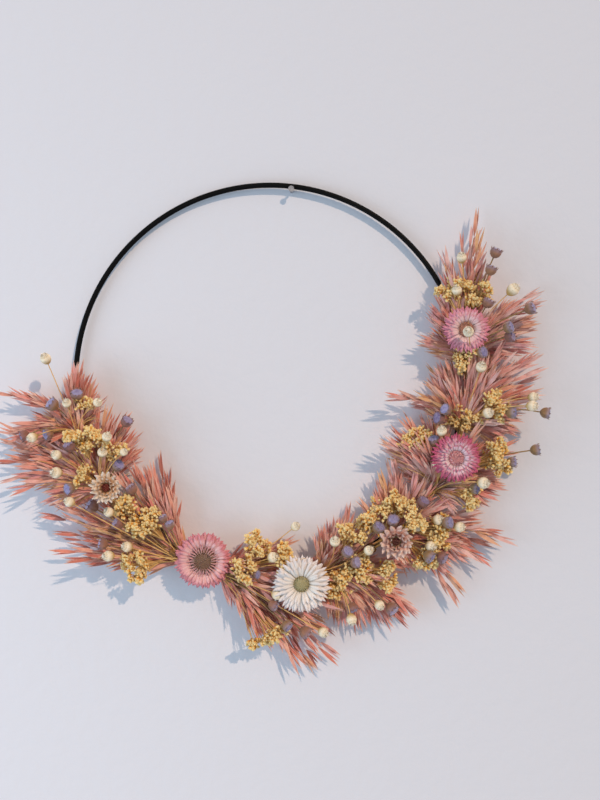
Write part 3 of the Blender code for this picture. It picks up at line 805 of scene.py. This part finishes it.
def broom(bunch):
    """Straw stems that fork into clusters of dry golden kernels."""
    growth, chance = Growth(), seeded("broom", bunch)
    for angle, offset, radius in bunch.broom:
        radius *= MM
        tip = settle(f"broom_{bunch.name}", angle, offset, radius * 0.5, BROOM_DEPTH)
        points = stem_to(bunch, BROOM_LANE, tip, chance, BROOM_DEPTH)
        toward = (points[-1] - points[-3]).normalized()
        turned_to = aim(tip, toward)
        growth.stalk(points[:-1], taper(points[:-1], 0.0005, 0.0004), "golden_straw")
        umbels = round(UMBELS * (radius / 0.010) ** 1.8)
        for index in range(umbels):
            around = index * GOLDEN_ANGLE + chance.uniform(-0.4, 0.4)
            share = math.sqrt((index + 0.5) / umbels)
            out = Vector((share * math.cos(around), share * 0.7 * math.sin(around), 0))
            low = chance.uniform(0.25, 1.5) * (1.1 - 0.5 * share)
            node = turned_to @ (radius * (out * 0.85 - Vector((0, 0, low))))
            growth.stalk([points[-4], points[-3].lerp(node, 0.6), node], [0.00035, 0.0003, 0.00022],
                         "golden_straw")
            outward = (turned_to.to_3x3() @ (out * 0.8 + Vector((0, 0, 0.9)))).normalized() + FRONT * 0.35
            for kernel in range(KERNELS):
                stray = Vector(chance.gauss(0, 0.55) for axis in "xyz")
                direction = (outward + stray).normalized()
                spot = node + direction * UMBEL_RADIUS * chance.uniform(0.55, 1.1)
                growth.stalk([node, spot], [TWIG_RADIUS, TWIG_RADIUS], "golden_straw")
                size = KERNEL_LENGTH * chance.uniform(0.65, 1.2)
                sway = Vector(chance.uniform(-0.6, 0.6) for axis in "xyz")
                growth.add("kernel", "broom_kernel", aim(spot, direction + sway, size), chance.random())
    for index in range(STRAWS):
        angle, offset, _ = somewhere(bunch, chance, 0.2)
        in_front = index % FRONT_STRAWS == 0
        depth = chance.uniform(*(FRONT_STRAW_DEPTH if in_front else STRAW_DEPTH))
        reach = FRONT_STRAW_REACH if in_front else STRAW_REACH
        tip = place(bunch.tie + (angle - bunch.tie) * reach, offset * reach * 0.9 * MM, depth)
        points = stem_to(bunch, BROOM_LANE, tip, chance, BROOM_DEPTH)
        growth.stalk(points, taper(points, 0.0004, 0.0002), "golden_straw")
    growth.piece(f"kernels_{bunch.name}", f"broom_{bunch.name}", "golden_broom")


def filled(rows):
    """Each row's angle, offset, size and depth. The size is 1 where the row gives none."""
    for row in rows:
        yield (*row, 1.0, None)[:4] if len(row) == 2 else (*row, None)[:4]


def heads_on_stems(growth, kind, bunch, chance, finish):
    """Grows each stem and gives a matrix at the foot of its head, sized to the head's radius, and a tint."""
    for angle, offset, size, depth in filled(getattr(bunch, kind.name)):
        radius = kind.diameter / 2 * size * chance.uniform(*kind.spread)
        middle = settle(f"{kind.name}_{bunch.name}", angle, offset, radius, kind.depth, depth)
        points = stem_to(bunch, kind.lane, middle, chance, kind.depth)
        toward = (points[-1] - points[-2]).normalized() + FRONT * chance.uniform(*kind.tilt)
        growth.stalk(points, taper(points, *kind.stem), finish)
        yield aim(middle - toward.normalized() * radius * kind.foot, toward, radius), chance.random()


def pods(bunch):
    """Stiff brown stems, each with a seed cup that holds a tuft of lilac floss."""
    growth, chance = Growth(), seeded("pods", bunch)
    for head, tint in heads_on_stems(growth, POD, bunch, chance, "brown_stem"):
        growth.add("pod_cup", "pod_cup", head, tint)
        growth.add("pod_floss", "pod_fluff", head, tint)
        for index in range(POD_TEETH):
            around = turn(index * 360 / POD_TEETH + chance.uniform(-8, 8), "Z")
            tooth = head @ (around @ move(0, -0.93, 1.38))
            growth.add("pod_tooth", "pod_cup", tooth @ turn(12, "X") @ Matrix.Scale(0.42, 4), tint)
        for index in range(POD_THREADS):
            away = 0.78 * math.sqrt((index + 0.5) / POD_THREADS)
            around = index * GOLDEN_ANGLE
            spot = move(away * math.cos(around), away * math.sin(around), 1.52 - 0.2 * away)
            lean = turn(chance.uniform(-25, 25), "X") @ turn(chance.uniform(-25, 25), "Y")
            growth.add("pod_thread", "pod_fluff", head @ spot @ lean @ Matrix.Scale(0.3, 4),
                       min(1, tint * 0.7 + chance.uniform(0, 0.3)))
    growth.piece(f"cups_{bunch.name}", f"pods_{bunch.name}", "lilac_pods")


def buttons(bunch):
    """Thin golden stems, each with a scaly round head closed by white fibres."""
    growth, chance = Growth(), seeded("buttons", bunch)
    for head, tint in heads_on_stems(growth, BUTTON, bunch, chance, "golden_straw"):
        growth.add("button_core", "button_husk", head, tint)
        for row, (height, away, count) in enumerate(((0.35, 0.62, 8), (0.75, 0.86, 10), (1.15, 0.93, 11))):
            for index in range(count):
                around = turn((index + 0.5 * (row % 2)) * 360 / count, "Z")
                scale = around @ move(0, -away, height) @ turn(-8 - 7 * row, "X")
                growth.add("button_scale", "button_husk", head @ scale, tint)
        for index in range(BUTTON_FIBRES):
            away = 0.8 * math.sqrt((index + 0.5) / BUTTON_FIBRES)
            around = turn(math.degrees(index * GOLDEN_ANGLE), "Z")
            fibre = around @ move(0, -away, 1.72 - 0.25 * away * away)
            growth.add("button_fibre", "button_floss",
                       head @ fibre @ turn(-58 + chance.uniform(-12, 12), "X"), chance.random())
    growth.piece(f"heads_{bunch.name}", f"buttons_{bunch.name}", "cream_buttons")


Head = namedtuple("Head", "name depth disc_radius disc_rise rows florets")

# How far the middle of a flower lies behind its front, in metres, and the size of its disc. Then its rows of
# bracts from the outside in: how many, how far from the middle they start, how long and wide they are, how
# steeply they rise, and how dark they are. Then its rings of florets: how many, their inner and outer radius,
# their length and how far they lean. Sizes are shares of the flower's radius, and turns are in degrees.
HEADS = (
    Head("pink", 0.0085, 0.52, 0.14,
        rows=((38, 0.40, 0.64, 0.19, 7, 0.7), (38, 0.42, 0.59, 0.19, 14, 0.45),
            (36, 0.47, 0.48, 0.17, 24, 0.3), (34, 0.52, 0.34, 0.15, 34, 0.1),
            (28, 0.38, 0.20, 0.05, 30, 0.0), (26, 0.29, 0.17, 0.045, 26, 0.0)),
        florets=((40, 0.28, 0.34, 0.14, 10), (90, 0.0, 0.28, 0.10, 4))),
    Head("white", 0.0085, 0.27, 0.14,
        rows=((30, 0.26, 0.78, 0.19, 7, 0.3), (30, 0.27, 0.72, 0.19, 15, 0.2),
            (28, 0.28, 0.64, 0.17, 25, 0.1), (24, 0.28, 0.46, 0.15, 40, 0.0)),
        florets=((110, 0.0, 0.27, 0.10, 10),)),
    Head("magenta", 0.0085, 0.36, 0.12,
        rows=((38, 0.28, 0.74, 0.16, 7, 0.9), (38, 0.29, 0.70, 0.16, 14, 0.7),
            (36, 0.30, 0.62, 0.15, 23, 0.35), (32, 0.31, 0.48, 0.13, 35, 0.05),
            (26, 0.32, 0.26, 0.12, 58, 0.0)),
        florets=((30, 0.22, 0.33, 0.18, -18), (40, 0.0, 0.22, 0.12, -8))),
    Head("lilac", 0.0085, 0.37, 0.12,
        rows=((36, 0.28, 0.76, 0.19, 8, 0.7), (36, 0.30, 0.68, 0.19, 15, 0.4),
            (34, 0.32, 0.58, 0.18, 25, 0.15), (30, 0.33, 0.42, 0.15, 40, 0.0)),
        florets=((34, 0.26, 0.36, 0.18, -10), (40, 0.0, 0.26, 0.12, 0))),
)

BUD_HEADS = (
    Head("cream", 0.006, 0.34, 0.3,
        rows=((15, 0.38, 0.98, 0.42, 12, 0.4), (14, 0.37, 0.94, 0.42, 28, 0.2),
            (13, 0.36, 0.82, 0.40, 46, 0.1), (10, 0.34, 0.62, 0.36, 62, 0.0)),
        florets=((34, 0.0, 0.32, 0.30, 6),)),
    Head("beige", 0.006, 0.30, 0.3,
        rows=((13, 0.38, 0.98, 0.46, 12, 0.5), (12, 0.37, 0.92, 0.46, 30, 0.25),
            (11, 0.34, 0.80, 0.44, 50, 0.1), (8, 0.32, 0.60, 0.40, 64, 0.0)),
        florets=((28, 0.0, 0.28, 0.30, 6),)),
)


def facing_front(node, depth):
    """A matrix at the middle of a flower in the frame, so far behind its front, whose Z comes forward, then
    the flower's radius and its back."""
    low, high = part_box(node)
    middle = (low + high) / 2
    radius = (high.x - low.x) / 2
    forward = Matrix((Vector((1, 0, 0)), Vector((0, 0, 1)), FRONT)).transposed().to_4x4()
    return move(middle.x, low.y + depth, middle.z) @ forward, radius, high.y


def add_bracts(growth, head, centre, radius, shape, finish, chance):
    for level, (count, foot, length, width, rise, tint) in enumerate(head.rows):
        for index in range(count):
            around = turn((index + 0.5 * level) * 360 / count + chance.uniform(-3, 3), "Z")
            lift = turn(90 - (rise + chance.uniform(-6, 6)), "X")
            size = Matrix.Diagonal((width / BRACT_WIDTH, 1, length * chance.uniform(0.9, 1.06), 1))
            twist = turn(chance.uniform(-16, 16), "Z")
            bract_turn = around @ move(0, -foot, 0.03 * level) @ lift @ size
            growth.add(shape, finish, centre @ Matrix.Scale(radius, 4) @ bract_turn @ twist,
                       min(1, max(0, tint + chance.uniform(-0.15, 0.25))))


def strawflower(head):
    """Rows of stiff bracts on a green cup and a cut stem."""
    node = f"strawflower_{head.name}"
    growth, chance = Growth(), random.Random(f"{SEED} {node}")
    centre, radius, back = facing_front(node, head.depth)
    add_bracts(growth, head, centre, radius, "bract", f"{head.name}_bract", chance)
    growth.add("calyx", "calyx", centre @ Matrix.Scale(radius, 4))
    foot = centre.translation
    stem_end = Vector((foot.x, max(back - MM, foot.y + 0.004), foot.z))
    growth.stalk([stem_end, foot.lerp(stem_end, 0.5), foot], [0.0011, 0.0010, 0.0013], "straw")
    growth.piece(f"bracts_{head.name}", node, f"{head.name}_bracts")


def add_disc(growth, head, centre, radius, chance):
    dome = Matrix.Diagonal((head.disc_radius, head.disc_radius, head.disc_rise, 1))
    growth.add("dome", f"{head.name}_disc", centre @ Matrix.Scale(radius, 4) @ dome)
    for count, inner, outer, length, angle in head.florets:
        for index in range(count):
            away = math.sqrt(inner ** 2 + (outer ** 2 - inner ** 2) * ((index + 0.5) / count))
            around = math.degrees(index * GOLDEN_ANGLE) + chance.uniform(-6, 6)
            rise = head.disc_rise * math.sqrt(max(0, 1 - (away / max(head.disc_radius, away)) ** 2))
            spot = turn(around, "Z") @ move(0, -away, max(rise * 0.8, 0.08))
            size = Matrix.Scale(length * chance.uniform(0.8, 1.15), 4)
            lean = turn(angle + chance.uniform(-10, 10), "X")
            growth.add("floret", f"{head.name}_floret",
                       centre @ Matrix.Scale(radius, 4) @ spot @ lean @ size, chance.random())


def flower_disc(head):
    growth, chance = Growth(), seeded("disc", head)
    centre, radius, _ = facing_front(f"strawflower_{head.name}", head.depth)
    add_disc(growth, head, centre, radius, chance)
    growth.piece(f"florets_{head.name}", f"disc_{head.name}", "flower_disc")


def half_open(head):
    """A bud whose bracts still curl in over its middle."""
    node = f"bud_{head.name}"
    growth, chance = Growth(), random.Random(f"{SEED} {node}")
    centre, radius, _ = facing_front(node, head.depth)
    add_bracts(growth, head, centre, radius, "bud_bract", f"{head.name}_bract", chance)
    add_disc(growth, head, centre, radius, chance)
    growth.add("calyx", "calyx", centre @ Matrix.Scale(radius * 1.4, 4))
    growth.piece(f"half_open_{head.name}", node, f"{head.name}_bracts")


# ---- wall and lights

WALL_DEPTH = 0.0055
CAMERA_DISTANCE = 0.650
CAMERA_SPOT = (0.0067, -0.1607)
VIEW_HEIGHT = 0.6093
SENSOR = 36


def wall():
    bpy.ops.mesh.primitive_plane_add(size=6, location=(0, WALL_DEPTH, 0), rotation=(math.radians(90), 0, 0))
    plane = bpy.context.object
    plane.name = "wall"
    plane.data.materials.append(plaster())


def nail():
    """The nail that the hoop hangs on: its shank under the rod and its head in front."""
    head_depth, shank, head_radius = 0.0052, 0.0009, 0.0022
    spot = Vector((0, 0, -shank - 0.0002))
    work = bmesh.new()
    for radius, front, back in ((shank, -head_depth, WALL_DEPTH + 0.002),
                                (head_radius, -head_depth - 0.0008, -head_depth)):
        middle = move(spot.x, (front + back) / 2, spot.z) @ turn(90, "X")
        bmesh.ops.create_cone(work, cap_ends=True, segments=24, radius1=radius, radius2=radius,
                              depth=back - front, matrix=middle)
    mesh = shape_from(work, "nail")
    mesh.materials.append(nail_steel())
    obj = put("nail", mesh)


def nail_steel():
    recipe = Recipe("nail_steel", Metallic=0.4)
    dull = recipe.noise(700, 2)
    return recipe.done(recipe.mix(dull, (170, 172, 178), (134, 136, 144)), 0.4 + dull * 0.2)


def light(name, kind, location, toward, color, energy, size):
    data = bpy.data.lights.new(name, kind)
    data.color, data.energy = color, energy
    if kind == "SUN":
        data.angle = math.radians(size)
    else:
        data.size = size
    lamp = put(name, data)
    lamp.location = location
    lamp.rotation_euler = (Vector(toward) - Vector(location)).to_track_quat("-Z", "Y").to_euler()
    return lamp


def lights_and_camera():
    """A low warm sun, cool light from a window and, for the back, a wide sun that the wall doesn't block."""
    middle = HOOP_CENTRE
    light("sun", "SUN", middle - Vector((-0.565, 1.0, -0.66)), middle, (1.0, 0.70, 0.48), 1.7, 1.6)
    light("window", "AREA", (-1.3, -0.85, -0.55), middle, (0.72, 0.86, 1.0), 13, 1.3)
    back = light("back", "SUN", middle + Vector((0.5, 1.0, 0.7)), middle, (1.0, 0.92, 0.86), 1.3, 50)
    blockers = bpy.data.collections.new("all_but_the_wall")
    for obj in bpy.context.scene.objects:
        if obj.name != "wall":
            blockers.objects.link(obj)
    back.light_linking.blocker_collection = blockers
    world = bpy.data.worlds.new("room")
    world.use_nodes = True
    background = world.node_tree.nodes["Background"]
    background.inputs["Color"].default_value = (0.86, 0.93, 1.0, 1)
    background.inputs["Strength"].default_value = 0.42
    bpy.context.scene.world = world
    data = bpy.data.cameras.new("camera")
    data.sensor_fit, data.sensor_height = "VERTICAL", SENSOR
    data.lens = SENSOR * CAMERA_DISTANCE / VIEW_HEIGHT
    camera = put("camera", data)
    camera.location = (CAMERA_SPOT[0], -CAMERA_DISTANCE, CAMERA_SPOT[1])
    camera.rotation_euler = (math.radians(90), 0, 0)
    bpy.context.scene.camera = camera
    bpy.context.scene.view_settings.view_transform = "Standard"


def small_shapes():
    bract_outline = (0.5, 0.72, 0.92, 1.0, 0.95, 0.7, 0.08)
    bud_outline = (0.6, 0.85, 1.0, 1.0, 0.92, 0.66, 0.15)
    return {
        **{kind: spikelet(*kind) for kind in SPIKELET_KINDS},
        "kernel": blade((0.35, 0.85, 1.0, 0.7), 0.66, 0.5, cup=0.2, sides=5),
        "pod_cup": turned(((0, 0), (0.2, 0.0), (0.46, 0.12), (0.8, 0.45), (0.97, 0.9), (0.94, 1.25),
                           (1.02, 1.5), (0.92, 1.53), (0.78, 1.35), (0, 1.3)), 24, ribs=POD_TEETH,
                          rib_depth=0.04),
        "pod_floss": turned(((0, 1.25), (0.8, 1.35), (0.86, 1.5), (0.62, 1.66), (0.3, 1.6), (0, 1.55)), 16),
        "pod_tooth": blade((0.9, 1.0, 0.8, 0.15), 0.6, 0.08, cup=0.3, curl=0.1),
        "pod_thread": blade((0.8, 1.0, 0.5, 0.1), 0.30, 0.26),
        "button_core": turned(((0, 0), (0.24, 0.02), (0.58, 0.28), (0.88, 0.75), (0.95, 1.2), (0.86, 1.55),
                               (0.5, 1.74), (0, 1.72)), 18),
        "button_scale": blade((0.7, 1.0, 0.9, 0.2), 0.62, 0.10, cup=-0.3),
        "button_fibre": blade((0.8, 1.0, 0.6, 0.1), 0.16, 0.10),
        "bract": blade(bract_outline, BRACT_WIDTH, 0.018, cup=0.22, curl=0.10, sides=6),
        "bud_bract": blade(bud_outline, BRACT_WIDTH, 0.03, cup=0.8, curl=-0.2, sides=6),
        "calyx": turned(((0, -0.30), (0.12, -0.28), (0.32, -0.12), (0.42, 0.02), (0, 0.06)), 20),
        "dome": turned(((0, -0.3), (0.98, -0.2), (1.0, 0.0), (0.92, 0.42), (0.7, 0.74), (0.35, 0.94),
                        (0, 1.0)), 24),
        "floret": blade((0.55, 0.8, 1.0, 0.75, 0.15), 0.30, 0.26, curl=-0.1),
    }


# Each strawflower's tones: its bracts at the foot, the middle, the tip and where they are darkest, its disc
# at the foot and the top, and its florets at the foot and the tip
PALETTES = {
    "pink": ((250, 206, 204), (238, 150, 162), (232, 132, 150), (196, 78, 102),
             (84, 34, 38), (150, 128, 100), (112, 40, 48), (255, 222, 212)),
    "white": ((250, 244, 236), (255, 254, 253), (255, 248, 248), (240, 226, 224),
              (166, 158, 116), (196, 190, 148), (184, 176, 134), (238, 234, 212)),
    "magenta": ((255, 236, 242), (250, 172, 206), (214, 28, 116), (184, 10, 88),
                (206, 132, 142), (236, 186, 186), (200, 116, 128), (255, 232, 232)),
    "lilac": ((255, 226, 226), (248, 182, 198), (240, 140, 170), (216, 92, 138),
              (186, 120, 104), (214, 160, 136), (120, 70, 56), (226, 180, 152)),
    "cream": ((236, 190, 140), (254, 240, 216), (255, 250, 240), (226, 178, 142),
              (110, 30, 36), (150, 60, 56), (120, 34, 40), (196, 130, 104)),
    "beige": ((222, 170, 152), (244, 204, 188), (253, 234, 220), (206, 142, 140),
              (90, 44, 46), (130, 80, 70), (96, 44, 48), (180, 128, 110)),
}


def all_finishes():
    """Every finish of the wreath, by its name."""
    finishes = [
        satin_black(), florist_wire(), oat_husk(), broom_kernel(), pod_cup(), pod_fluff(), button_husk(),
        button_floss(),
        straw("straw", (146, 104, 56), (210, 168, 106)),
        straw("golden_straw", (196, 146, 70), (232, 190, 120)),
        straw("brown_stem", (84, 60, 40), (140, 108, 62)),
        straw("calyx", (150, 132, 84), (190, 170, 116)),
    ]
    for name, (*bracts, disc_foot, disc_top, floret_foot, floret_tip) in PALETTES.items():
        finishes.append(bract(f"{name}_bract", *bracts))
        finishes.append(floret(f"{name}_disc", disc_foot, disc_top))
        finishes.append(floret(f"{name}_floret", floret_foot, floret_tip))
    return {finish.name: finish for finish in finishes}


def main():
    SHAPES.update(small_shapes())
    FINISHES.update(all_finishes())
    wall()
    nail()
    black_rod()
    for bunch in BUNCHES:
        for kind in (wire_tie, buttons, pods, broom, oats):
            kind(bunch)
    for head in HEADS:
        strawflower(head)
        flower_disc(head)
    for head in BUD_HEADS:
        half_open(head)
    lights_and_camera()


main()
